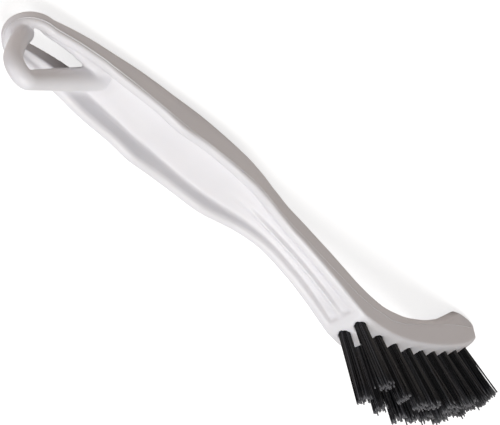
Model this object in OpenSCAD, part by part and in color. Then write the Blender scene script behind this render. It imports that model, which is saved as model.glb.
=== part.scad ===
// Grout brush: a hollow-backed plastic handle with a hanging ring and a hook bar,
// a bent neck, a curled head with a bevelled toe, and two rows of stiff tufts.
// It lies on its back. X runs from the hanging end to the toe, Y to the right,
// Z up, the way the bristles point. Millimetres.

/* [Handle] */
// Length of the plastic handle, from the back of the hook to the toe
handle_length = 215; // [212:1:217]
// Widest half width of the grip, change in millimetres
grip_extra = 0; // [-0.4:0.1:0.6]
// Radius of the rounded bead along the rim of the trough
bead_radius = 1.35; // [1.2:0.05:1.4]

/* [Ring] */
// Radius of the round end of the hanging ring
ring_radius = 7.2; // [7:0.1:7.6]
// Half the width of the slot through the ring
slot_half_width = 3.5; // [3.2:0.1:3.6]
// Diameter of the round hook bar
bar_diameter = 5.2; // [4.6:0.1:5.4]
// Radius of the bar's bend, measured to the bar's centre line
bar_bend_radius = 3.8; // [3.5:0.1:4]

/* [Tufts] */
// Diameter of the blind holes that hold the tufts
hole_diameter = 3.2; // [3:0.05:3.4]
// Depth of the holes below the face
hole_depth = 7.5; // [7:0.1:7.8]
// Gap around the root of a tuft
root_clearance = 0.3; // [0.25:0.05:0.35]
// Distance from the middle plane to each row
row_offset = 2.5; // [2.4:0.05:2.6]
// Thickness of one bristle, across its flats
bristle_thickness = 0.34; // [0.28:0.02:0.36]
// Trim height of the tuft nearest the grip
heel_trim = 19; // [18:0.5:22]
// Trim height of the tuft at the toe
toe_trim = 14.6; // [14:0.2:15.6]
// Rise of the crowned face between its edges and its middle
face_crown = 1.2; // [0.8:0.1:1.4]
// Radius along the edges of the face
face_edge = 0.8; // [0.6:0.1:1.2]

/* [Anchor] */
// Thickness of the flat wire that pins a tuft down
anchor_thickness = 0.5; // [0.4:0.05:0.6]
// Height of the flat wire
anchor_height = 1.5; // [1.2:0.1:1.6]
// How far each end of the wire bites into the wall of its hole
anchor_bite = 0.5; // [0.4:0.1:0.7]

/* [Hidden] */
$fn = 28;
tuft_count = 9;
hole_radius = hole_diameter / 2;
root_radius = hole_radius - root_clearance;
root_height = 4;
anchor_rise = 0.7;
anchor_length = hole_diameter + 2 * anchor_bite;
bar_radius = bar_diameter / 2;
ring_centre = 7.4 + ring_radius;
middle = 110.7;
lowest = 0.6;

// Stations along the handle: where it is, half width, height of the rims,
// height of the back, depth of the trough, half width and height of the rib
stations = [
  [ring_centre, ring_radius, 10.6, 5.0, 1.8, 0.9, 0.0],
  [24, 7.8, 10.2, 3.5, 1.7, 1.2, 0.0],
  [33, 8.1, 10.0, 2.3, 1.2, 2.6, 0.4],
  [36, 8.2, 10.2, 2.1, 1.2, 2.8, 1.6],
  [40, 8.4, 10.9, 1.8, 3.1, 3.0, 1.9],
  [46, 8.7, 11.6, 1.4, 6.0, 3.4, 0.7],
  [50, 8.8, 11.9, 1.1, 5.9, 3.4, 0.0],
  [58, 8.9, 12.6, 0.8, 5.4, 1.2, 0.0],
  [67, 9.0, 14.2, 0.6, 5.5, 1.2, 0.0],
  [77, 9.1, 13.9, 0.9, 4.6, 1.2, 0.0],
  [87, 9.0, 14.4, 1.7, 3.9, 1.2, 0.0],
  [97, 8.6, 15.1, 2.6, 3.8, 1.0, 0.0],
  [106, 7.4, 15.1, 3.2, 2.9, 0.8, 0.2],
  [114, 6.1, 15.9, 4.4, 2.2, 0.7, 0.9],
  [122, 5.4, 17.6, 6.6, 1.6, 0.7, 1.2],
  [131, 5.4, 20.9, 9.2, 1.5, 0.7, 1.2],
  [139, 5.6, 24.9, 12.0, 1.5, 0.7, 1.2],
  [146, 5.9, 29.1, 15.0, 1.5, 0.7, 1.1],
  [149, 6.0, 30.4, 16.3, 1.5, 0.7, 1.1],
  [154, 6.2, 30.9, 18.2, 1.5, 0.7, 1.1],
  [161, 6.3, 30.5, 19.3, 1.5, 0.7, 1.1],
  [170, 6.4, 28.5, 18.1, 1.5, 0.7, 1.1],
  [182, 6.4, 24.2, 14.0, 1.5, 0.7, 1.1],
  [194, 6.35, 18.9, 8.4, 1.5, 0.7, 1.1],
  [204, 6.2, 13.7, 2.0, 1.5, 0.7, 1.1]
];
station_count = len(stations);
toe_start = 204;
toe_end = handle_length + 0.6;

// Smooth curve through column c of the stations, at position x
function slope_at(c, i) =
  i == 0 ? chord(c, 0) :
  i == station_count - 1 ? chord(c, i - 1) :
  chord(c, i - 1) * chord(c, i) <= 0 ? 0 :
  2 * chord(c, i - 1) * chord(c, i) / (chord(c, i - 1) + chord(c, i));
function chord(c, i) =
  (stations[i + 1][c] - stations[i][c]) / (stations[i + 1][0] - stations[i][0]);
function step_of(x, i = 0) =
  i >= station_count - 2 || x < stations[i + 1][0] ? i : step_of(x, i + 1);
function blend(c, i, s, d) =
  let(t = s / d, a = stations[i][c], b = stations[i + 1][c])
  a * (1 + 2 * t) * pow(1 - t, 2) + b * t * t * (3 - 2 * t)
  + d * (slope_at(c, i) * t * pow(1 - t, 2) - slope_at(c, i + 1) * t * t * (1 - t));
function at(c, x) =
  let(i = step_of(x)) blend(c, i, x - stations[i][0], stations[i + 1][0] - stations[i][0]);

// The toe carries on past the last station and is cut back by its bevel
function half_width(x) = x < toe_start ? at(1, x) + grip_extra * grip_share(x) : toe_width(x);
function grip_share(x) = x < 40 || x > 106 ? 0 : pow(sin(180 * (x - 40) / 66), 2);
function toe_width(x) = 6.2 - 0.9 * pow((x - toe_start) / (toe_end - toe_start), 3);
function rim(x) =
  x < toe_start ? at(2, x) : 13.7 - 0.62 * (x - toe_start) - 0.008 * pow(x - toe_start, 2);
function back(x) = x < toe_start ? at(3, x) : max(lowest, 2.0 - 0.72 * (x - toe_start));
function depth(x) = x < toe_start ? max(0, at(4, x)) : 0;
function rib_width(x) = x < toe_start ? at(5, x) : 0.8;
function rib_height(x) = x < toe_start ? max(0, at(6, x)) : 0;

// One half of the cross section, from the middle of the back round to the middle of the trough
function crown(x) = 0.46 * (rim(x) - back(x));
function outer(x) = [for (a = [0, 26, 50, 72, 90])
  [half_width(x) * pow(sin(a), 0.8), back(x) + crown(x) * (1 - pow(cos(a), 0.8))]];
function bead(x, r) = let(y = half_width(x) - r - 0.1, z = rim(x) - r)
  [for (a = [0, 45, 90]) [y + r * cos(a), z + r * sin(a)]];
function bead_inside(x) = let(r = bead_radius, y = half_width(x) - r - 0.1, g = min(1, depth(x) / r))
  [[y - 0.75 * r, rim(x) - 0.34 * r * g], [y - r, rim(x) - min(r, 0.8 * depth(x))]];
function trough(x) = let(y = half_width(x) - 2 * bead_radius - 0.1, z = rim(x) - depth(x))
  let(w = min(rib_width(x), y - 1.1), h = rib_height(x))
  [[y - 0.6, z], [w, z], [0.62 * w, z + 0.8 * h], [0, z + h]];
function open_half(x) = concat(outer(x), bead(x, bead_radius), bead_inside(x), trough(x));

// The face of the head is crowned: it rises from its edges to its middle
head_start = 146;
crown_run = 16;
function dome(x) = face_crown * (1 - pow(1 - min(1, max(0, x - head_start) / crown_run), 2));
function face_height(x, y) = rim(x) + dome(x) * (1 - pow(y / half_width(x), 2));
function solid_half(x) =
  let(y = 0.5 * half_width(x))
  concat(outer(x), bead(x, face_edge), [[y, face_height(x, y)], [0, face_height(x, 0)]]);
function placed(x, points) = [for (p = points) [x, p[0], p[1]]];
function mirrored(x, h, last) = [for (i = [last : -1 : 1]) [x, -h[i][0], h[i][1]]];
function open_section(x) = let(h = open_half(x)) concat(placed(x, h), mirrored(x, h, len(h) - 2));
function solid_section(x) = let(h = solid_half(x)) concat(placed(x, h), mirrored(x, h, len(h) - 2));

// Solid skin through a list of cross sections, with caps given as triangles
half_cap = [[0, 1, 13], [1, 12, 13], [1, 11, 12], [1, 2, 11], [2, 10, 11], [2, 3, 10],
  [3, 4, 10], [4, 9, 10], [4, 5, 9], [5, 8, 9], [5, 6, 8], [6, 7, 8]];
function other_side(i) = i == 0 ? 0 : 26 - i;
mirrored_cap = [for (t = half_cap) [other_side(t[0]), other_side(t[2]), other_side(t[1])]];
open_cap = concat(half_cap, mirrored_cap);
solid_cap = [for (i = [1 : 16]) [0, i, i + 1]];
module skin(sections, cap) {
  n = len(sections[0]);
  m = len(sections);
  sides = [for (i = [0 : m - 2]) for (j = [0 : n - 1])
    let(a = i * n + j, b = i * n + (j + 1) % n)
    each [[a, b + n, b], [a, a + n, b + n]]];
  far = (m - 1) * n;
  ends = concat(cap, [for (t = cap) [t[2] + far, t[1] + far, t[0] + far]]);
  polyhedron([for (c = sections) each c], concat(sides, ends), convexity = 8);
}
grip_start = 42;
ring_cuts = [ring_centre, 18, 22, 26, 30, 33, 36, 39, grip_start];
grip_cuts = concat([grip_start, 44, 46, 50, 54, 58, 62.5, 67, 72, 77, 82, 87, 92, 97],
  [101.5, 106, 110, 114, 118, 122, 126.5, 131, 135, 139, 143, head_start]);
head_cuts = concat([head_start, 148, 150, 153, 157, 161, 166, 172, 178],
  [185, 192, 198, toe_start, 206, 209, 212, toe_end]);
module ring_legs() {
  skin([for (x = ring_cuts) open_section(x)], open_cap);
}
module grip() {
  skin([for (x = grip_cuts) open_section(x)], open_cap);
}
module head() {
  skin([for (x = head_cuts) solid_section(x)], solid_cap);
}

// Round end of the ring, turned from the same cross section
module ring_end() {
  h = open_half(ring_centre);
  translate([ring_centre, 0, 0]) rotate([0, 0, 90]) rotate_extrude(angle = 180, $fn = 48)
    polygon(concat([for (p = h) if (p[0] > 2.4) p],
      [[2.4, rim(ring_centre) - depth(ring_centre)], [2.4, back(ring_centre) + 0.1]]));
}

// Slot through the ring, with round ends
slot_start = ring_centre - ring_radius + 4.5;
slot_end = 37.2;
module ring_slot() {
  for (x = [slot_start + slot_half_width, slot_end - slot_half_width])
    translate([x, 0, -1]) cylinder(h = 20, r = slot_half_width);
  translate([slot_start + slot_half_width, -slot_half_width, -1])
    cube([slot_end - slot_start - 2 * slot_half_width, 2 * slot_half_width, 20]);
}

// Hook bar: leaves the ring's tip, leans back, bends over and runs down into the trough
bend_x = 7.0;
bend_z = 20.7;
bend_swell = 0.06;
lean_angle = 32;
fall_angle = 29;
module bar_leg(side_angle, length) {
  x = bend_x + bar_bend_radius * cos(side_angle);
  z = bend_z + bar_bend_radius * sin(side_angle);
  turn = side_angle > 180 ? 180 - lean_angle : 90 + fall_angle;
  translate([x, 0, z]) rotate([0, turn, 0]) translate([0, 0, -0.3])
    cylinder(h = length + 0.3, r = bar_radius);
}
module hook_bar() {
  translate([bend_x, 0, bend_z]) rotate([90, 0, 0]) rotate([0, 0, 90 - fall_angle])
    rotate_extrude(angle = 90 + fall_angle + lean_angle, $fn = 48)
      translate([bar_bend_radius, 0]) circle(r = bar_radius + bend_swell, $fn = 24);
  bar_leg(180 + lean_angle, 12.2);
  bar_leg(90 - fall_angle, 33.5);
}

// Place something at tuft number i, side -1 is the left row and 1 the right row
pitch_start = 150.8;
pitch_end = 208.8;
pitch_bow = 1.6;
function share(i) = (i - 1) / (tuft_count - 1);
function tuft_x(i) =
  pitch_start + (pitch_end - pitch_start) * share(i) + pitch_bow * sin(180 * share(i));
heel_lean = 12;
toe_lean = 44;
function fan(i) = heel_lean + (toe_lean - heel_lean) * share(i);
module at_tuft(i, side) {
  translate([tuft_x(i), side * row_offset, face_height(tuft_x(i), row_offset)])
    rotate([0, fan(i), 0]) children();
}
module anchor() {
  translate([-anchor_length / 2, -anchor_thickness / 2, anchor_rise - hole_depth])
    cube([anchor_length, anchor_thickness, anchor_height]);
}
module tuft_hole() {
  translate([0, 0, -hole_depth]) cylinder(h = hole_depth + 3, r = hole_radius);
}

// Bristles of one tuft: rings of strands that lean outwards a little
strands = 22;
strand_root = 0.6;
function strand_ring(k) = k < 1 ? 0 : k < 8 ? 1 : 2;
function strand_radius(k) = [0, 0.52, 1.02][strand_ring(k)];
function strand_angle(k) =
  strand_ring(k) == 0 ? 0 :
  strand_ring(k) == 1 ? k * 360 / 7 :
  (k - 8) * 360 / 14 + 9;
function strand_length(i, k) = hole_depth - root_height + strand_root + trim(i) + unevenness(i, k);
function trim(i) = heel_trim + (toe_trim - heel_trim) * share(i);
function unevenness(i, k) = 0.9 * sin(137 * k + 71 * i);
module tuft(i, side) {
  at_tuft(i, side) {
    difference() {
      translate([0, 0, -hole_depth]) cylinder(h = root_height, r = root_radius);
      anchor();
    }
    for (k = [0 : strands - 1])
      rotate([0, 0, side * strand_angle(k)])
        translate([strand_radius(k), 0, root_height - hole_depth - strand_root])
          rotate([0, 1.3 * strand_ring(k), 0]) rotate([0, 0, 45])
            cylinder(h = strand_length(i, k), r = bristle_thickness / sqrt(2), $fn = 4);
  }
}

module centred() { translate([-middle, 0, -lowest]) children(); }

module handle() {
  color([0.92, 0.92, 0.94]) centred() {
    difference() {
      union() { ring_legs(); ring_end(); }
      ring_slot();
    }
    hook_bar();
    grip();
    difference() {
      head();
      for (i = [1 : tuft_count]) for (side = [-1, 1]) at_tuft(i, side) {
        tuft_hole();
        anchor();
      }
    }
  }
}
module anchor_staples() {
  color([0.75, 0.75, 0.74]) centred()
    for (i = [1 : tuft_count]) for (side = [-1, 1]) at_tuft(i, side) anchor();
}
module bristle_color() { color([0.09, 0.09, 0.1]) centred() children(); }
module left_tuft_1() { bristle_color() tuft(1, -1); }
module left_tuft_2() { bristle_color() tuft(2, -1); }
module left_tuft_3() { bristle_color() tuft(3, -1); }
module left_tuft_4() { bristle_color() tuft(4, -1); }
module left_tuft_5() { bristle_color() tuft(5, -1); }
module left_tuft_6() { bristle_color() tuft(6, -1); }
module left_tuft_7() { bristle_color() tuft(7, -1); }
module left_tuft_8() { bristle_color() tuft(8, -1); }
module left_tuft_9() { bristle_color() tuft(9, -1); }
module right_tuft_1() { bristle_color() tuft(1, 1); }
module right_tuft_2() { bristle_color() tuft(2, 1); }
module right_tuft_3() { bristle_color() tuft(3, 1); }
module right_tuft_4() { bristle_color() tuft(4, 1); }
module right_tuft_5() { bristle_color() tuft(5, 1); }
module right_tuft_6() { bristle_color() tuft(6, 1); }
module right_tuft_7() { bristle_color() tuft(7, 1); }
module right_tuft_8() { bristle_color() tuft(8, 1); }
module right_tuft_9() { bristle_color() tuft(9, 1); }

handle();
anchor_staples();
left_tuft_1();
left_tuft_2();
left_tuft_3();
left_tuft_4();
left_tuft_5();
left_tuft_6();
left_tuft_7();
left_tuft_8();
left_tuft_9();
right_tuft_1();
right_tuft_2();
right_tuft_3();
right_tuft_4();
right_tuft_5();
right_tuft_6();
right_tuft_7();
right_tuft_8();
right_tuft_9();
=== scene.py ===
# %% [markdown]
# # Grout brush
# A narrow hand brush for the joints between tiles. The handle, ring, hook bar and
# head are one moulded piece of white plastic, and 18 tufts of black nylon stand in
# its head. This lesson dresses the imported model: it replaces the handle by a finely
# rounded shell and the tufts by bundles of single filaments.

# %% Load the frame
import bpy, bmesh, math
import numpy as np
from mathutils import Matrix, Vector


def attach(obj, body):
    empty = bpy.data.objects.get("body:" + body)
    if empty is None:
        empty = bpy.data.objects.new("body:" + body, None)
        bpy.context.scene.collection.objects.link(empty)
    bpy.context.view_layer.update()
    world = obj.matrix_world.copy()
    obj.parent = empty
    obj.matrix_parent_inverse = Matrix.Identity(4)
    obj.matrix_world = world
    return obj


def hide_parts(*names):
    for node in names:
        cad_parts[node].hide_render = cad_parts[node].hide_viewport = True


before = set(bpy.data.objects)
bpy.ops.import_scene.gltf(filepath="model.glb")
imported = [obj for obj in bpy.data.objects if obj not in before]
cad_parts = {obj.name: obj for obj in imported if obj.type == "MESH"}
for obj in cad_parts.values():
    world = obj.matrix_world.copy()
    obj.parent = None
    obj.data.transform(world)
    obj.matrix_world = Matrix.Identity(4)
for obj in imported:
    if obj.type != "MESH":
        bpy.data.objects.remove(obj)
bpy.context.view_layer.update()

# %% [markdown]
# ## Units and small helpers
# The handle is laid out in millimetres from the back of the hook bar, because those
# are round numbers. Helpers turn them into the metres of the frame, whose origin is
# under the middle of the brush, and back, make a mesh object from plain lists, turn
# its faces outward and skin a row of rings.

# %% Helpers
MIDDLE, LOWEST = 110.7, 0.6


def in_frame(points):
    """Millimetres along the handle to metres in the frame."""
    p = np.asarray(points, float).reshape(-1, 3)
    return (p - [MIDDLE, 0, LOWEST]) / 1000


def along_handle(points):
    """Metres in the frame to millimetres along the handle."""
    p = np.asarray(points, float).reshape(-1, 3)
    return p * 1000 + [MIDDLE, 0, LOWEST]


def mesh_piece(name, points, faces):
    mesh = bpy.data.meshes.new(name)
    mesh.from_pydata([tuple(p) for p in in_frame(points)], [], faces)
    mesh.validate()
    mesh.polygons.foreach_set("use_smooth", [True] * len(mesh.polygons))
    piece = bpy.data.objects.new(name, mesh)
    bpy.context.scene.collection.objects.link(piece)
    return piece


def outward(piece, weld=False):
    """Turns every face outward, and first joins points that coincide if asked to."""
    shape = bmesh.new()
    shape.from_mesh(piece.data)
    if weld:
        bmesh.ops.remove_doubles(shape, verts=shape.verts, dist=1e-6)
        bmesh.ops.dissolve_degenerate(shape, edges=shape.edges, dist=1e-7)
    bmesh.ops.recalc_face_normals(shape, faces=shape.faces)
    shape.to_mesh(piece.data)
    shape.free()


def loft(rings, first_cap=True):
    """Quads between closed rings of equal length, with a flat cap on the end rings."""
    n, m = len(rings[0]), len(rings)
    points = [p for ring in rings for p in ring]
    faces = [(i * n + j, i * n + (j + 1) % n, (i + 1) * n + (j + 1) % n, (i + 1) * n + j)
             for i in range(m - 1) for j in range(n)]
    if first_cap:
        faces.append(tuple(range(n)))
    return points, faces + [tuple(range((m - 1) * n, m * n))]


print("helpers ready")

# %% [markdown]
# ## The curves of the handle
# A moulded handle has no straight edge. Its half width, the height of its rims, the
# height of its back and the depth of its trough all change along its length. Each is
# given at a few stations, as a designer would pin them, and a monotone cubic curve
# runs through them, so nothing overshoots between two stations.

# %% Stations
STATIONS = np.array([
    # along, half width, rim, back, trough, rib half width, rib height
    [14.6, 7.2, 10.6, 5.0, 1.8, 0.9, 0.0], [24, 7.8, 10.2, 3.5, 1.7, 1.2, 0.0],
    [33, 8.1, 10.0, 2.3, 1.2, 2.6, 0.4], [36, 8.2, 10.2, 2.1, 1.2, 2.8, 1.6],
    [40, 8.4, 10.9, 1.8, 3.1, 3.0, 1.9], [46, 8.7, 11.6, 1.4, 6.0, 3.4, 0.7],
    [50, 8.8, 11.9, 1.1, 5.9, 3.4, 0.0], [58, 8.9, 12.6, 0.8, 5.4, 1.2, 0.0],
    [67, 9.0, 14.2, 0.6, 5.5, 1.2, 0.0], [77, 9.1, 13.9, 0.9, 4.6, 1.2, 0.0],
    [87, 9.0, 14.4, 1.7, 3.9, 1.2, 0.0], [97, 8.6, 15.1, 2.6, 3.8, 1.0, 0.0],
    [106, 7.4, 15.1, 3.2, 2.9, 0.8, 0.2], [114, 6.1, 15.9, 4.4, 2.2, 0.7, 0.9],
    [122, 5.4, 17.6, 6.6, 1.6, 0.7, 1.2], [131, 5.4, 20.9, 9.2, 1.5, 0.7, 1.2],
    [139, 5.6, 24.9, 12.0, 1.4, 0.7, 1.1], [146, 5.9, 29.1, 15.0, 0.95, 0.7, 0.75],
    [149, 6.0, 30.4, 16.3, 1.5, 0.7, 1.1], [154, 6.2, 30.9, 18.2, 1.5, 0.7, 1.1],
    [161, 6.3, 30.5, 19.3, 1.5, 0.7, 1.1], [170, 6.4, 28.5, 18.1, 1.5, 0.7, 1.1],
    [182, 6.4, 24.2, 14.0, 1.5, 0.7, 1.1], [194, 6.35, 18.9, 8.4, 1.5, 0.7, 1.1],
    [204, 6.2, 13.7, 2.0, 1.5, 0.7, 1.1]])
TOE_START, TOE_END, HEAD_START = 204.0, 215.6, 146.0
TOE_WIDTH, TOE_RIM, TOE_BACK = STATIONS[-1, 1:4]
TOE_NARROWS, RIM_SLOPE, RIM_BOW, BACK_SLOPE = 1.3, 0.62, 0.008, 0.72


def curve_through(column):
    x, y = STATIONS[:, 0], STATIONS[:, column]
    chord = np.diff(y) / np.diff(x)
    inner = [0 if a * b <= 0 else 2 * a * b / (a + b) for a, b in zip(chord, chord[1:])]
    slope = np.r_[chord[0], inner, chord[-1]]

    def value(at):
        i = np.clip(np.searchsorted(x, at, side="right") - 1, 0, len(x) - 2)
        d = x[i + 1] - x[i]
        t = (at - x[i]) / d
        return (y[i] * (1 + 2 * t) * (1 - t) ** 2 + y[i + 1] * t * t * (3 - 2 * t)
                + d * (slope[i] * t * (1 - t) ** 2 - slope[i + 1] * t * t * (1 - t)))
    return value


width_curve, rim_curve, back_curve = (curve_through(c) for c in (1, 2, 3))
depth_curve, rib_width_curve, rib_height_curve = (curve_through(c) for c in (4, 5, 6))


def half_width(x):
    past = (x - TOE_START) / (TOE_END - TOE_START)
    return width_curve(x) if past < 0 else TOE_WIDTH - TOE_NARROWS * past ** 3


def rim(x):
    past = x - TOE_START
    return rim_curve(x) if past < 0 else TOE_RIM - RIM_SLOPE * past - RIM_BOW * past ** 2


def back(x):
    past = x - TOE_START
    return back_curve(x) if past < 0 else max(LOWEST, TOE_BACK - BACK_SLOPE * past)


print("widest:", round(max(2 * half_width(x) for x in range(15, 205)), 1), "mm")

# %% [markdown]
# ## Cross sections
# Seen end on, the handle is a crowned channel: a rounded back, nearly upright sides,
# a bead along each rim, tight on its outer side and full on its inner side, and a
# flat trough between the beads. In the neck, and under the foot of the hook bar, a
# low rib runs along the trough. The head has the same outside, with a slightly
# crowned face between crisp edges. Its back turns into a chamfered flat towards the
# toe, where the brush rests on it.

# %% Cross sections
BACK_CROWN, TOE_CHAMFER, TIP_CHAMFER, FLAT_FROM, FLAT_RUN = 0.46, 2.0, 0.8, 186.0, 18.0
BEAD, OUTER_BEAD, FACE_EDGE, FACE_CROWN, CROWN_RUN = 1.35, 0.8, 0.5, 1.2, 16.0
WALL_FOOT, FOOT_ROUND, LOWEST_RIB, RIB_SPREAD = 1.0, 0.3, 0.02, 1.25


def outside(x):
    """From the middle of the back to the side: a crown, or at the toe a flat and a chamfer."""
    wide, low = half_width(x), back(x)
    crown = BACK_CROWN * (rim(x) - low)
    crowned = np.array([(wide * math.sin(t) ** 0.8, low + crown * (1 - max(0, math.cos(t)) ** 0.8))
                        for t in np.radians(np.linspace(0, 90, 22))])
    cut = np.interp(x, [TOE_START, TOE_END], [TOE_CHAMFER, TIP_CHAMFER])
    flat = [((wide - cut) * s, low) for s in np.linspace(0, 1, 11)]
    slant = [(wide - cut * (1 - s), low + cut * s) for s in np.linspace(0, 1, 12)[1:]]
    share = min(1.0, max(0.0, (x - FLAT_FROM) / FLAT_RUN))
    return [tuple(p) for p in crowned * (1 - share) + np.array(flat + slant) * share]


def channel_half(x):
    """The right half of the channel: outside, bead, inner wall, floor and rib."""
    y, top, r = half_width(x) - BEAD - 0.1, rim(x), BEAD
    depth, rib_width, rib_height = depth_curve(x), rib_width_curve(x), rib_height_curve(x)
    drop, wall = r * min(1.0, depth / r), max(0.0, depth - r)
    points = outside(x)
    e, corner = OUTER_BEAD, half_width(x) - OUTER_BEAD - 0.06
    points += [(corner + e * math.cos(t), top - e + e * math.sin(t))
               for t in np.radians(np.linspace(0, 90, 8))]
    points += [(y - r * math.sin(t), top - drop * (1 - math.cos(t)))
               for t in np.radians(np.linspace(12, 78, 6))]
    points += [(y - r - 0.12, top - drop - 0.35 * wall), (y - r - 0.32, top - drop - 0.75 * wall)]
    edge = max(y - r - WALL_FOOT, FOOT_ROUND)
    points += [(edge + FOOT_ROUND, top - depth + 0.06), (edge, top - depth)]
    reach = min(edge, RIB_SPREAD * rib_width) if rib_height > LOWEST_RIB else edge
    return points + [(reach * s * 0.98, top - depth + rib_height * (1 - s * s) ** 1.5)
                     for s in np.linspace(1, 0, 9)]


def face_height(x, y):
    dome = FACE_CROWN * (1 - (1 - min(1.0, max(0.0, x - HEAD_START) / CROWN_RUN)) ** 2)
    return rim(x) + dome * (1 - (y / half_width(x)) ** 2)


def head_half(x):
    """The right half of the head: outside, edge and crowned face."""
    y, top, r = half_width(x) - FACE_EDGE - 0.05, rim(x), FACE_EDGE
    points = outside(x)
    points += [(y + r * math.cos(t), top - r + r * math.sin(t)) for t in np.radians(np.linspace(0, 90, 8))]
    return points + [(y * s, face_height(x, y * s)) for s in np.linspace(0.93, 0, 9)]


def whole_ring(x, half):
    """Both halves of a section as one closed ring at x."""
    left = [(x, -y, z) for y, z in half[-2:0:-1]]
    return [(x, y, z) for y, z in half] + left


print("points in a channel section:", len(whole_ring(80, channel_half(80))))

# %% [markdown]
# ## Grip, neck and head
# Lofting is the direct way: one ring of points per cross section, joined by quads.
# The channel and the head are lofted apart, since one is open and the other is not,
# and they are melted together later.

# %% Loft the body
def lofted(name, xs, half):
    piece = mesh_piece(name, *loft([whole_ring(x, half(x)) for x in xs]))
    outward(piece)
    return piece


RING_CENTRE, OVERLAP = 14.6, 0.6
channel = lofted("channel_blank", np.arange(RING_CENTRE, HEAD_START + OVERLAP, 0.5), channel_half)
head_places = np.r_[np.arange(HEAD_START, TOE_START, 0.75), np.linspace(TOE_START, TOE_END, 18)]
head = lofted("head_blank", head_places, head_half)
print("channel", len(channel.data.vertices), "head", len(head.data.vertices))

# %% [markdown]
# ## The hanging ring
# The grip ends in a ring: the last cross section turned half way round, and its tip
# droops towards the back. A slot with round ends then runs through ring and grip. It
# has draft, so that the mould could leave it, and its far end slants under the foot
# of the hook bar. Turning and cutting give an even wall, which a loft could only
# imitate.

# %% Ring end and slot
RIM_DROOP, BACK_DROOP, RING_OVERLAP = 3.0, 1.2, 0.05


def droop(x, z):
    """How far the ring's tip has sunk at x, most at its rims and least at its back."""
    reach = max(0.0, (RING_CENTRE - x) / half_width(RING_CENTRE))
    level = (z - back(RING_CENTRE)) / (rim(RING_CENTRE) - back(RING_CENTRE))
    return (BACK_DROOP + (RIM_DROOP - BACK_DROOP) * level) * reach ** 1.2


def turned(name, half, steps=48):
    """A half section turned half way round the ring's centre, drooped and closed."""
    rows = []
    for t in np.linspace(math.pi / 2, 1.5 * math.pi, steps):
        xs = [RING_CENTRE + RING_OVERLAP + y * math.cos(t) for y, z in half]
        rows.append([(x, y * math.sin(t), z - droop(x, z)) for x, (y, z) in zip(xs, half)])
    points, n = [p for row in rows for p in row], len(half)
    faces = [(i * n + j, i * n + j + 1, (i + 1) * n + j + 1, (i + 1) * n + j)
             for i in range(steps - 1) for j in range(n - 1)]
    last = (steps - 1) * n
    faces.append(tuple(range(n)) + tuple(last + j for j in range(n - 2, 0, -1)))
    piece = mesh_piece(name, points, faces)
    outward(piece, weld=True)
    return piece


def bare(piece):
    """Turns the piece's modifiers into its mesh."""
    seen = piece.evaluated_get(bpy.context.evaluated_depsgraph_get())
    mesh = bpy.data.meshes.new_from_object(seen)
    piece.modifiers.clear()
    piece.data = mesh


def cut_from(piece, cutter):
    step = piece.modifiers.new("cut", "BOOLEAN")
    step.object, step.operation, step.solver = cutter, "DIFFERENCE", "EXACT"
    bare(piece)


NEAR_HALF, FAR_HALF, SLOT_LEVEL, SLOT_DRAFT = 3.15, 2.6, 9.0, 0.16
SLOT_FROM, SLOT_TO, END_SLANT, CUT_LOW, CUT_HIGH = 14.0, 36.0, 0.9, -5.0, 12.0


def slot_outline(z):
    """The slot at height z. It widens towards the back, and its far end slants."""
    wider = SLOT_DRAFT * (SLOT_LEVEL - z)
    near, far, end = NEAR_HALF + wider, FAR_HALF + wider, SLOT_TO + END_SLANT * (SLOT_LEVEL - z)
    turns = np.linspace(0, math.pi, 24)
    return ([(SLOT_FROM - near * math.sin(t), near * math.cos(t), z) for t in turns]
            + [(end + far * math.sin(t), -far * math.cos(t), z) for t in turns])


ring_end = turned("ring_blank", channel_half(RING_CENTRE))
slot = mesh_piece("slot_cutter", *loft([slot_outline(z) for z in (CUT_LOW, CUT_HIGH)]))
outward(slot)
bpy.context.view_layer.update()
for blank in (channel, ring_end):
    cut_from(blank, slot)
bpy.data.objects.remove(slot)
print("ring and slot:", len(ring_end.data.vertices), "points")

# %% [markdown]
# ## The hook bar
# A round bar springs from the ring, bends back over the slot and runs down into the
# trough, so that the brush can hang over a rod. It is a circle swept along a path of
# a bowed leg, a bend and a straight leg. It thickens from the bend to its landing,
# and its foot on the ring swells a little.

# %% Sweep the hook bar
BEND_X, BEND_Z, BEND_FROM, BEND_TO = 7.2, 20.7, 3.45, 3.9
LEAN, FALL, FOOT_BOW, BOW_FROM = math.radians(28), math.radians(29), 0.9, 9.4
UP_LEG, DOWN_LEG, TURN_STEPS = 12.4, 40.0, 30
BAR_RADIUS, LANDING_RADIUS = 2.3, 3.2


def bar_path():
    """The bar's centre line as points along and up: up from the ring, round, and down."""
    start = np.array([BEND_X - BEND_FROM * math.cos(LEAN), BEND_Z - BEND_FROM * math.sin(LEAN)])
    end = np.array([BEND_X + BEND_TO * math.sin(FALL), BEND_Z + BEND_TO * math.cos(FALL)])
    up = [start + s * np.array([math.sin(LEAN), -math.cos(LEAN)]) + [FOOT_BOW * (s / BOW_FROM) ** 2.2, 0]
          for s in np.linspace(UP_LEG, 0.4, TURN_STEPS)]
    turn = [(BEND_X + r * math.cos(t), BEND_Z + r * math.sin(t))
            for t, r in zip(np.linspace(math.pi + LEAN, math.pi / 2 - FALL, TURN_STEPS),
                            np.linspace(BEND_FROM, BEND_TO, TURN_STEPS))]
    down = [end + s * np.array([math.cos(FALL), -math.sin(FALL)]) for s in np.linspace(0.6, DOWN_LEG, 60)]
    return np.array(up + turn + down)


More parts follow.
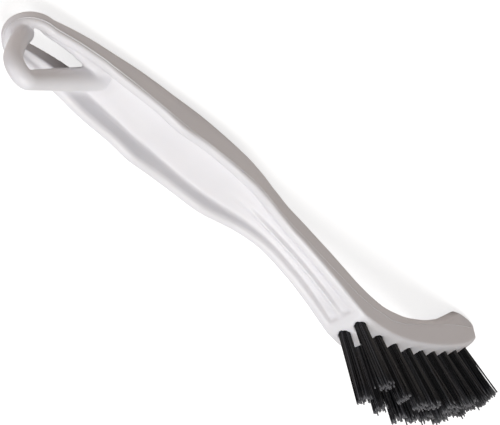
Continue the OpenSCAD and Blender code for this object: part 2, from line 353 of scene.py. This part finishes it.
def swept(name, path, radii, sides=40):
    """A round bar along a path in the plane of symmetry."""
    along = np.gradient(path, axis=0)
    along /= np.linalg.norm(along, axis=1)[:, None]
    rings = []
    for (x, z), (dx, dz), r in zip(path, along, radii):
        rings.append([(x - dz * r * math.cos(t), r * math.sin(t), z + dx * r * math.cos(t))
                      for t in np.linspace(0, 2 * math.pi, sides, endpoint=False)])
    piece = mesh_piece(name, *loft(rings))
    outward(piece)
    return piece


bar_line = bar_path()
travelled = np.r_[0, np.cumsum(np.linalg.norm(np.diff(bar_line, axis=0), axis=1))]
bend_done = travelled[2 * TURN_STEPS]
bar_radii = np.interp(travelled, [0, 2, 5, bend_done, travelled[-1]],
                      [BAR_RADIUS + 0.3, BAR_RADIUS + 0.2, BAR_RADIUS, BAR_RADIUS + 0.2, LANDING_RADIUS])
hook_bar = swept("hook_blank", bar_line, bar_radii)
print("hook bar", round(travelled[-1], 1), "mm long")

# %% [markdown]
# ## Holes for the tufts
# Each tuft stands in its own drilled hole, in two rows. The holes are cut as small
# slanted cylinders, along the same axes that the filaments will follow, so that
# bristles and holes agree by construction.

# %% Tuft places and holes
TUFTS, ROW = 9, 2.5
FIRST_TUFT, LAST_TUFT, TUFT_BOW = 150.8, 208.8, 1.6
HEEL_TILT, TOE_TILT, HEEL_TRIM, TOE_TRIM = 13.0, 42.5, 18.3, 15.1
HOLE_RADIUS, HOLE_DEPTH, DRILL_ABOVE, DRILL_SIDES = 1.6, 7.5, 6.0, 20


def tuft_place(i):
    """Where tuft i leaves the face, how long it is, and the way it points."""
    share = (i - 1) / (TUFTS - 1)
    x = FIRST_TUFT + (LAST_TUFT - FIRST_TUFT) * share + TUFT_BOW * math.sin(math.pi * share)
    tilt = math.radians(HEEL_TILT + (TOE_TILT - HEEL_TILT) * share)
    trim = HEEL_TRIM + (TOE_TRIM - HEEL_TRIM) * share
    return np.array([x, face_height(x, ROW)]), trim, np.array([math.sin(tilt), math.cos(tilt)])


def drill(place, axis, side):
    """The two rings of a slanted drill, from the hole's floor to above the face."""
    (x, z), (dx, dz) = place, axis
    rings = []
    for s in (-HOLE_DEPTH, DRILL_ABOVE):
        turns = np.linspace(0, 2 * math.pi, DRILL_SIDES, endpoint=False)
        rings.append([(x + dx * s + dz * HOLE_RADIUS * math.cos(t), side * ROW + HOLE_RADIUS * math.sin(t),
                       z + dz * s - dx * HOLE_RADIUS * math.cos(t)) for t in turns])
    return rings


def hole_cutter():
    points, faces = [], []
    for i in range(1, TUFTS + 1):
        place, _, axis = tuft_place(i)
        for side in (-1, 1):
            base = len(points)
            drilled, around = loft(drill(place, axis, side))
            points += drilled
            faces += [tuple(base + v for v in face) for face in around]
    piece = mesh_piece("hole_cutter", points, faces)
    outward(piece)
    return piece


holes = hole_cutter()
bpy.context.view_layer.update()
cut_from(head, holes)
bpy.data.objects.remove(holes)
print("head with", 2 * TUFTS, "holes:", len(head.data.vertices), "points")

# %% [markdown]
# ## One moulded shell
# The blanks overlap, but the real handle is one piece with soft inner corners. A
# voxel remesh melts closed blanks into one skin, and smoothing then rounds it, most
# of all at the feet of the bar and at the end of the neck grooves. Joining them by
# booleans instead would leave every meeting line sharp.

# %% Melt the blanks together
VOXEL = 0.00032
EVEN_ROUNDS, FILLET_ROUNDS = 3, 22
# Centre of each soft place and how far it reaches.
SOFT_PLACES = [((9.4, 0, 8.6), 2.7), ((36.0, 0, 9.0), 9.0), ((146.2, 0, 28.0), 3.5)]


def point_places(piece):
    """All points of a piece, in millimetres along the handle."""
    at = np.empty(len(piece.data.vertices) * 3)
    piece.data.vertices.foreach_get("co", at)
    return along_handle(at)


def joined(name, blanks):
    points, faces = [], []
    for blank in blanks:
        base = len(points)
        points += list(point_places(blank))
        faces += [tuple(base + v for v in p.vertices) for p in blank.data.polygons]
        bpy.data.objects.remove(blank)
    return mesh_piece(name, points, faces)


def mark_soft_places(piece):
    """A vertex group that says how much each point is to be smoothed, in tenths."""
    at = point_places(piece)
    softness = np.zeros(len(at))
    for centre, reach in SOFT_PLACES:
        softness = np.maximum(softness, np.clip(1.3 - np.linalg.norm(at - centre, axis=1) / reach, 0, 1))
    tenths = np.round(softness, 1)
    group = piece.vertex_groups.new(name="soft_places")
    for level in np.unique(tenths[tenths > 0]):
        group.add([int(i) for i in np.nonzero(tenths == level)[0]], float(level), "REPLACE")


handle = joined("handle_shell", [channel, ring_end, hook_bar, head])
melt = handle.modifiers.new("melt", "REMESH")
melt.mode, melt.voxel_size, melt.use_smooth_shade = "VOXEL", VOXEL, True
bpy.context.view_layer.update()
bare(handle)
mark_soft_places(handle)
for name, rounds, group in (("even", EVEN_ROUNDS, ""), ("fillet", FILLET_ROUNDS, "soft_places")):
    step = handle.modifiers.new(name, "SMOOTH")
    step.factor, step.iterations, step.vertex_group = 0.5, rounds, group
bpy.context.view_layer.update()
bare(handle)
handle.data.polygons.foreach_set("use_smooth", [True] * len(handle.data.polygons))
print("moulded shell:", len(handle.data.polygons), "faces")

# %% [markdown]
# ## The parting line
# Where the two halves of a mould met, a thin line of plastic stands up all round the
# handle. It is plain to see at the ring, and finer along the grip and beyond. It is
# too fine for the skin's own mesh, so it is a thread laid on the surface: rays from
# outside find the wall, and a four sided thread follows it.

# %% Lay the parting line
from mathutils.bvhtree import BVHTree

# Where the line runs: along the handle, height.
PARTING = np.array([[14.6, 9.4], [24, 9.0], [34, 8.9], [50, 10.8], [71, 13.0], [90, 13.5], [104, 13.9],
                    [114, 14.4], [122, 15.5], [134, 19.4], [146, 23.9], [154, 25.6], [163, 25.4], [170, 23.2],
                    [185.5, 15.9], [200, 9.0], [212.6, 3.9]])
PARTING_END, LINE_STEP, RAY_START = 212.4, 0.6, 20.0
FULL_LINE, FINE_LINE, FINER_FROM, FINE_FROM = 0.21, 0.11, 36, 62
skin = BVHTree.FromObject(handle, bpy.context.evaluated_depsgraph_get())


def on_skin(start, towards):
    """Where a ray from outside meets the handle, or nothing."""
    hit = skin.ray_cast(Vector(in_frame(start)[0]), Vector(towards).normalized())[0]
    return None if hit is None else along_handle(hit)[0]


def line_points():
    """Where the line runs: in along the left wall, round the ring, out along the right."""
    xs = np.arange(RING_CENTRE, PARTING_END, LINE_STEP)
    heights = np.interp(xs, PARTING[:, 0], PARTING[:, 1])
    left = [on_skin((x, -RAY_START, z), (0, 1, 0)) for x, z in zip(xs[::-1], heights[::-1])]
    right = [on_skin((x, RAY_START, z), (0, -1, 0)) for x, z in zip(xs, heights)]
    ring = []
    for t in np.linspace(1.48, 0.52, 60) * math.pi:
        z = PARTING[0, 1] - droop(RING_CENTRE + half_width(RING_CENTRE) * math.cos(t), PARTING[0, 1])
        start = (RING_CENTRE + RAY_START * math.cos(t), RAY_START * math.sin(t), z)
        ring.append(on_skin(start, (-math.cos(t), -math.sin(t), 0)))
    return np.array([p for p in left + ring + right if p is not None])


def thread(name, line, radii):
    """A four sided thread along a line."""
    along = np.gradient(line, axis=0)
    along /= np.linalg.norm(along, axis=1)[:, None]
    side = np.cross(along, [0, 0, 1])
    side /= np.linalg.norm(side, axis=1)[:, None]
    up = np.cross(side, along)
    rings = [[p + r * (math.cos(t) * s + math.sin(t) * u) for t in (0, math.pi / 2, math.pi, 1.5 * math.pi)]
             for p, r, s, u in zip(line, radii, side, up)]
    piece = mesh_piece(name, *loft(rings))
    outward(piece)
    return piece


line = line_points()
line_radii = np.interp(line[:, 0], [FINER_FROM, FINE_FROM], [FULL_LINE, FINE_LINE])
parting_line = thread("parting_line", line, line_radii)
print("parting line:", len(line), "points")

# %% [markdown]
# ## Bristle tufts
# A tuft is a bundle of stiff nylon filaments, folded in the hole and cut to length.
# Every filament is a slim tube with its own lean, bend and trim, and the two rows
# splay a little apart. Real geometry shows the round sheen and the ragged tips better
# than any texture on a solid would.

# %% Build the tufts
FILAMENT, PITCH, BUNDLE, SPLAY = 0.215, 0.45, 1.36, 0.058
ROOT_DEPTH, SIDES, STEPS = 4.0, 8, 7
TRIM_WAVE, TRIM_NOISE, BEND_NOISE, STRAY_SHARE = 0.5, 0.38, 0.18, 0.05
rng = np.random.default_rng(7)


def bundle_places():
    grid = [(PITCH * (i + 0.5 * (j % 2)), PITCH * 0.866 * j) for i in range(-6, 7) for j in range(-6, 7)]
    return [(u, v) for u, v in grid if math.hypot(u, v) <= BUNDLE]


def filament(root, lean, bend, length, axis, across):
    """The rings of one slim tube, from inside its hole to its cut end."""
    rings = []
    for s in np.linspace(-ROOT_DEPTH, length, STEPS):
        t = max(0.0, s) / length
        u, v = (root[k] + lean[k] * s + bend[k] * t * t for k in (0, 1))
        centre = np.array([axis[0] * s + across[0] * u, v, axis[1] * s + across[1] * u])
        r = FILAMENT * (1 - 0.06 * t)
        rings.append([centre + r * np.array([across[0] * math.cos(a), math.sin(a), across[1] * math.cos(a)])
                      for a in np.linspace(0, 2 * math.pi, SIDES, endpoint=False)])
    return rings


def tuft(row, i):
    side = -1 if row == "left" else 1
    (x, z), trim, axis = tuft_place(i)
    across = np.array([axis[1], -axis[0]])
    points, faces, shade, share = [], [], [], []
    whole = trim + TRIM_WAVE * math.sin(math.radians(137 * i + 71 * (side > 0)))
    for u, v in bundle_places():
        root = (u + rng.normal(0, 0.02), v + rng.normal(0, 0.02))
        lean = np.array([u, v]) * rng.normal(0.026, 0.006) + rng.normal(0, 0.006, 2) + [0, SPLAY * side]
        bend = rng.normal(0, BEND_NOISE, 2)
        length = whole + rng.normal(0, TRIM_NOISE)
        if rng.random() < STRAY_SHARE:
            lean, length = lean + rng.normal(0, 0.03, 2), length - rng.uniform(0.2, 1.6)
        tube, around = loft(filament(root, lean, bend, length, axis, across), first_cap=False)
        base = len(points)
        faces += [tuple(base + v for v in face) for face in around]
        points += [p + np.array([x, side * ROW, z]) for p in tube]
        shade += [rng.random()] * len(tube)
        share += [k / (STEPS - 1) for k in range(STEPS) for _ in range(SIDES)]
    piece = mesh_piece(row + "_tuft_" + str(i) + "_filaments", points, faces)
    outward(piece)
    for name, values in (("strand", shade), ("share", share)):
        piece.data.attributes.new(name, "FLOAT", "POINT").data.foreach_set("value", values)
    return piece


tufts = {row + "_tuft_" + str(i): tuft(row, i) for row in ("left", "right") for i in range(1, TUFTS + 1)}
print(len(tufts), "tufts of", len(bundle_places()), "filaments")

# %% [markdown]
# ## Effects that materials share
# Moulded plastic, nylon and wire all show fine grain, and none is one even colour.
# Two node groups give that: one makes a drifting tone and a fine relief, the other
# draws rub marks out along the piece. Materials place them with their own values, so
# the three finishes stay related yet different.

# %% Node groups
def colour_mix(nodes, link, factor, first, second=None):
    """A mix from a linked first colour to a second one, constant unless linked later."""
    mix = nodes.new("ShaderNodeMix")
    mix.data_type = "RGBA"
    link(factor, mix.inputs["Factor"])
    link(first, mix.inputs["A"])
    if second:
        mix.inputs["B"].default_value = second
    return mix


def stretched(nodes, link, value, low, high):
    """A map range that takes low to 0 and high to 1."""
    node = nodes.new("ShaderNodeMapRange")
    node.inputs["From Min"].default_value, node.inputs["From Max"].default_value = low, high
    link(value, node.inputs["Value"])
    return node


def new_group(name, inputs, outputs):
    """A node group with its sockets, and the nodes that hold them inside."""
    group = bpy.data.node_groups.new(name, "ShaderNodeTree")
    for label, kind, value in inputs:
        socket = group.interface.new_socket(label, in_out="INPUT", socket_type=kind)
        socket.default_value = value
    for label, kind in outputs:
        group.interface.new_socket(label, in_out="OUTPUT", socket_type=kind)
    return group, group.nodes.new("NodeGroupInput"), group.nodes.new("NodeGroupOutput")


def grain_group():
    """A tone and a roughness that drift between two values, and a fine relief."""
    group, given, result = new_group("drift_and_grain", [
        ("Tone", "NodeSocketColor", (0.8, 0.8, 0.8, 1)),
        ("Second Tone", "NodeSocketColor", (0.7, 0.7, 0.7, 1)),
        ("Drift Scale", "NodeSocketFloat", 40.0), ("Grain Scale", "NodeSocketFloat", 1500.0),
        ("Roughness From", "NodeSocketFloat", 0.3), ("Roughness To", "NodeSocketFloat", 0.5)],
        [("Colour", "NodeSocketColor"), ("Roughness", "NodeSocketFloat"), ("Height", "NodeSocketFloat")])
    nodes, link = group.nodes, group.links.new
    place = nodes.new("ShaderNodeTexCoord")
    drift, grain = nodes.new("ShaderNodeTexNoise"), nodes.new("ShaderNodeTexNoise")
    drift.inputs["Detail"].default_value = 3
    grain.inputs["Detail"].default_value = 2
    link(place.outputs["Object"], drift.inputs["Vector"])
    link(place.outputs["Object"], grain.inputs["Vector"])
    link(given.outputs["Drift Scale"], drift.inputs["Scale"])
    link(given.outputs["Grain Scale"], grain.inputs["Scale"])
    tone = colour_mix(nodes, link, drift.outputs["Fac"], given.outputs["Tone"])
    link(given.outputs["Second Tone"], tone.inputs["B"])
    rough = stretched(nodes, link, drift.outputs["Fac"], 0.3, 0.7)
    link(given.outputs["Roughness From"], rough.inputs["To Min"])
    link(given.outputs["Roughness To"], rough.inputs["To Max"])
    link(tone.outputs["Result"], result.inputs["Colour"])
    link(rough.outputs["Result"], result.inputs["Roughness"])
    link(grain.outputs["Fac"], result.inputs["Height"])
    return group


def streak_group():
    """Rub marks drawn out along the piece, as a mask from 0 to 1."""
    group, given, result = new_group("rub_marks", [
        ("Scale", "NodeSocketFloat", 120.0), ("Stretch", "NodeSocketFloat", 0.08),
        ("Amount", "NodeSocketFloat", 0.5)], [("Mask", "NodeSocketFloat")])
    nodes, link = group.nodes, group.links.new
    place, stretch = nodes.new("ShaderNodeTexCoord"), nodes.new("ShaderNodeCombineXYZ")
    link(given.outputs["Stretch"], stretch.inputs["X"])
    stretch.inputs["Y"].default_value = stretch.inputs["Z"].default_value = 1.0
    drawn, noise = nodes.new("ShaderNodeVectorMath"), nodes.new("ShaderNodeTexNoise")
    drawn.operation = "MULTIPLY"
    link(place.outputs["Object"], drawn.inputs[0])
    link(stretch.outputs["Vector"], drawn.inputs[1])
    link(drawn.outputs["Vector"], noise.inputs["Vector"])
    link(given.outputs["Scale"], noise.inputs["Scale"])
    sharp, scaled = stretched(nodes, link, noise.outputs["Fac"], 0.56, 0.72), nodes.new("ShaderNodeMath")
    scaled.operation = "MULTIPLY"
    link(sharp.outputs["Result"], scaled.inputs[0])
    link(given.outputs["Amount"], scaled.inputs[1])
    link(scaled.outputs["Value"], result.inputs["Mask"])
    return group


GRAIN, STREAKS = grain_group(), streak_group()
print("groups:", [g.name for g in bpy.data.node_groups])

# %% [markdown]
# ## White plastic
# The handle is injection moulded in white plastic: a cool white, half gloss, with
# gloss that wanders a little and a very fine grain. A little light enters it, which
# softens its shadows, so a small subsurface share goes with it.

# %% White plastic
def new_material(name):
    material = bpy.data.materials.new(name)
    material.use_nodes = True
    nodes = material.node_tree.nodes
    return material, nodes, material.node_tree.links.new, nodes["Principled BSDF"]


def placed(nodes, group, **values):
    """A shared effect with this material's own values."""
    node = nodes.new("ShaderNodeGroup")
    node.node_tree = group
    for label, value in values.items():
        node.inputs[label.replace("_", " ")].default_value = value
    return node


def relief(nodes, link, height, surface, strength, distance):
    bump = nodes.new("ShaderNodeBump")
    bump.inputs["Strength"].default_value, bump.inputs["Distance"].default_value = strength, distance
    link(height, bump.inputs["Height"])
    link(bump.outputs["Normal"], surface.inputs["Normal"])


def white_plastic():
    material, nodes, link, surface = new_material("moulded_white_plastic")
    grain = placed(nodes, GRAIN, Tone=(0.83, 0.825, 0.85, 1), Second_Tone=(0.79, 0.785, 0.805, 1),
                   Drift_Scale=55.0, Grain_Scale=2600.0, Roughness_From=0.32, Roughness_To=0.44)
    rubs = placed(nodes, STREAKS, Scale=160.0, Stretch=0.12, Amount=0.5)
    rubbed = colour_mix(nodes, link, rubs.outputs["Mask"], grain.outputs["Colour"], (0.86, 0.855, 0.87, 1))
    link(rubbed.outputs["Result"], surface.inputs["Base Color"])
    link(grain.outputs["Roughness"], surface.inputs["Roughness"])
    relief(nodes, link, grain.outputs["Height"], surface, 0.25, 0.00006)
    surface.inputs["Subsurface Weight"].default_value = 0.12
    surface.inputs["Subsurface Radius"].default_value = (0.9, 0.8, 0.7)
    surface.inputs["Subsurface Scale"].default_value = 0.0012
    surface.inputs["IOR"].default_value = 1.49
    return material


plastic = white_plastic()
for piece in (handle, parting_line):
    piece.data.materials.clear()
    piece.data.materials.append(plastic)
print("white plastic on", handle.name, "and", parting_line.name)

# %% [markdown]
# ## Black nylon
# Each filament was drawn through a die, so it is smooth and glossy along its length,
# while its cut end is dull and paler. A random value for each filament and how far
# along it a point lies are stored on the mesh, and the material reads both. Filaments
# whose value is above 0.6 turn paler the higher it goes: a painted highlight line along
# each of them, spread at random among the filaments.

# %% Black nylon
# The paler strand colour is a painted highlight along the filaments; the cut end colour is the dull cut face.
STRAND_HIGHLIGHT, CUT_END = (0.04, 0.041, 0.048, 1), (0.13, 0.13, 0.14, 1)


def black_nylon():
    material, nodes, link, surface = new_material("drawn_black_nylon")
    strand, share = nodes.new("ShaderNodeAttribute"), nodes.new("ShaderNodeAttribute")
    strand.attribute_name, share.attribute_name = "strand", "share"
    grain = placed(nodes, GRAIN, Tone=(0.0025, 0.003, 0.0045, 1), Second_Tone=(0.0055, 0.006, 0.0085, 1),
                   Drift_Scale=300.0, Grain_Scale=5000.0, Roughness_From=0.24, Roughness_To=0.38)
    # Painted highlight: filaments with a random value above 0.6 are mixed towards a paler colour.
    paler = stretched(nodes, link, strand.outputs["Fac"], 0.6, 1.0)
    strand_highlights = colour_mix(nodes, link, paler.outputs["Result"], grain.outputs["Colour"], STRAND_HIGHLIGHT)
    ends = stretched(nodes, link, share.outputs["Fac"], 0.965, 1.0)
    tipped = colour_mix(nodes, link, ends.outputs["Result"], strand_highlights.outputs["Result"], CUT_END)
    link(tipped.outputs["Result"], surface.inputs["Base Color"])
    link(grain.outputs["Roughness"], surface.inputs["Roughness"])
    relief(nodes, link, grain.outputs["Height"], surface, 0.2, 0.00003)
    surface.inputs["IOR"].default_value = 1.53
    surface.inputs["Specular IOR Level"].default_value = 0.36
    return material


nylon = black_nylon()
for piece in tufts.values():
    piece.data.materials.append(nylon)
print("black nylon on", len(tufts), "tufts")

# %% [markdown]
# ## Anchor wire
# A flat staple of plated wire holds each tuft down in its hole. The modelled staples
# are right as they are, so they stay and get a drawn metal finish with die marks.

# %% Anchor wire
def anchor_wire():
    material, nodes, link, surface = new_material("drawn_anchor_wire")
    grain = placed(nodes, GRAIN, Tone=(0.62, 0.60, 0.55, 1), Second_Tone=(0.50, 0.48, 0.44, 1),
                   Drift_Scale=500.0, Grain_Scale=6000.0, Roughness_From=0.24, Roughness_To=0.42)
    marks = placed(nodes, STREAKS, Scale=2500.0, Stretch=0.1, Amount=0.6)
    marked = colour_mix(nodes, link, marks.outputs["Mask"], grain.outputs["Colour"], (0.40, 0.38, 0.34, 1))
    link(marked.outputs["Result"], surface.inputs["Base Color"])
    link(grain.outputs["Roughness"], surface.inputs["Roughness"])
    relief(nodes, link, grain.outputs["Height"], surface, 0.3, 0.00002)
    surface.inputs["Metallic"].default_value = 1.0
    return material


wire = anchor_wire()
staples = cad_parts["anchor_staples"]
for place in staples.material_slots:
    place.link, place.material = "OBJECT", wire
print("anchor wire on", len(staples.material_slots), "slot of", staples.name)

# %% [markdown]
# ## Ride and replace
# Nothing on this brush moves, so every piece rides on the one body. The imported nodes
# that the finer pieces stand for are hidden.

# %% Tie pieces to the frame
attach(handle, "root")
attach(parting_line, "root")
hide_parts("handle")
for node, piece in tufts.items():
    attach(piece, "root")
    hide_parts(node)
print("pieces:", 2 + len(tufts))

# %% [markdown]
# ## Floor and light
# The photograph was taken on white, with broad lights overhead and on the left side of
# the brush, which leave its right wall in an even warm grey. Four large soft lamps do
# the same, and a dim world fills the rest. The floor glows a little to the camera, so
# that it looks white and its shadow stays faint, but it throws less light back up, so
# the shade keeps its tone.

# %% Floor, world and lamps
FLOOR_REACH, FLOOR_GLOW, WORLD_LEVEL, CAMERA_LEVEL = 3.0, 0.75, 0.185, 1.1
SHOWN_FLOOR, LIT_FLOOR, WORLD_TINT = (0.45, 0.45, 0.45, 1), (0.60, 0.55, 0.52, 1), (1.0, 0.95, 0.92, 1)
LAMP_SIZE, LAMP_AIM = 0.8, (0, 0, 0.015)


def pale_floor():
    mesh, f = bpy.data.meshes.new("studio_floor"), FLOOR_REACH
    mesh.from_pydata([(-f, -f, 0), (f, -f, 0), (f, f, 0), (-f, f, 0)], [], [(0, 1, 2, 3)])
    floor = bpy.data.objects.new("studio_floor", mesh)
    bpy.context.scene.collection.objects.link(floor)
    material, nodes, link, surface = new_material("pale_floor")
    path, shown = nodes.new("ShaderNodeLightPath"), nodes.new("ShaderNodeMix")
    shown.data_type = "RGBA"
    shown.inputs["A"].default_value, shown.inputs["B"].default_value = LIT_FLOOR, SHOWN_FLOOR
    link(path.outputs["Is Camera Ray"], shown.inputs["Factor"])
    link(shown.outputs["Result"], surface.inputs["Base Color"])
    glow = nodes.new("ShaderNodeMath")
    glow.operation = "MULTIPLY"
    glow.inputs[1].default_value = FLOOR_GLOW
    link(path.outputs["Is Camera Ray"], glow.inputs[0])
    link(glow.outputs["Value"], surface.inputs["Emission Strength"])
    surface.inputs["Emission Color"].default_value = (1, 1, 1, 1)
    surface.inputs["Roughness"].default_value = 1.0
    surface.inputs["Specular IOR Level"].default_value = 0.0
    mesh.materials.append(material)


def studio_world():
    world = bpy.data.worlds.new("studio_world")
    bpy.context.scene.world = world
    world.use_nodes = True
    nodes, link = world.node_tree.nodes, world.node_tree.links.new
    sky, path, level = nodes["Background"], nodes.new("ShaderNodeLightPath"), nodes.new("ShaderNodeMapRange")
    sky.inputs["Color"].default_value = WORLD_TINT
    level.inputs["To Min"].default_value, level.inputs["To Max"].default_value = WORLD_LEVEL, CAMERA_LEVEL
    link(path.outputs["Is Camera Ray"], level.inputs["Value"])
    link(level.outputs["Result"], sky.inputs["Strength"])


def soft_lamp(name, place, power, tint):
    data = bpy.data.lights.new(name, "AREA")
    data.shape, data.size, data.energy, data.color = "DISK", LAMP_SIZE, power, tint
    lamp = bpy.data.objects.new(name, data)
    bpy.context.scene.collection.objects.link(lamp)
    lamp.location = place
    lamp.rotation_euler = (Vector(LAMP_AIM) - Vector(place)).to_track_quat("-Z", "Y").to_euler()


pale_floor()
studio_world()
soft_lamp("overhead_lamp", (0.0, 0.0, 1.25), 6.8, (0.94, 0.98, 1.0))
soft_lamp("toe_side_lamp", (0.47, 0.0, 1.16), 4.8, (1.0, 0.94, 0.90))
soft_lamp("ring_side_lamp", (-0.88, 0.0, 0.88), 3.1, (1.0, 0.92, 0.87))
soft_lamp("left_side_lamp", (-0.84, -0.84, 0.39), 3.6, (0.90, 0.93, 1.0))
print("world at", WORLD_LEVEL, "and lamps:", len(bpy.data.lights))

# %% [markdown]
# ## Camera
# The photograph looks down over the ring end and the right side through a long lens,
# rolled so that the ring is at the top left and the bristles hang down. The camera's
# three axes are written out as they were solved from the picture, since no aim point
# and roll would be clearer.

# %% Camera
LENS, SENSOR, CAMERA_PLACE = 349.24, 36.0, (-0.90692, 0.44798, 0.72485)
RIGHT, UP, BEHIND = (0.55052, 0.81345, 0.18771), (-0.40064, 0.45469, -0.79545), (-0.73241, 0.36271, 0.57622)


def photograph_camera():
    data = bpy.data.cameras.new("photo_camera")
    data.lens, data.sensor_width, data.sensor_fit = LENS, SENSOR, "AUTO"
    data.clip_start, data.clip_end = 0.05, 20
    camera = bpy.data.objects.new("photo_camera", data)
    bpy.context.scene.collection.objects.link(camera)
    turn = Matrix((RIGHT, UP, BEHIND)).transposed().to_4x4()
    camera.matrix_world = Matrix.Translation(CAMERA_PLACE) @ turn
    bpy.context.scene.camera = camera


photograph_camera()
bpy.context.scene.view_settings.view_transform = "Standard"
print("lens", round(bpy.context.scene.camera.data.lens), "mm")

# %% [markdown]
# ## Finish
# The dressed brush must be as big as the imported one. The last line brings the scene
# up to date.

# %% Update the scene
bpy.context.view_layer.update()
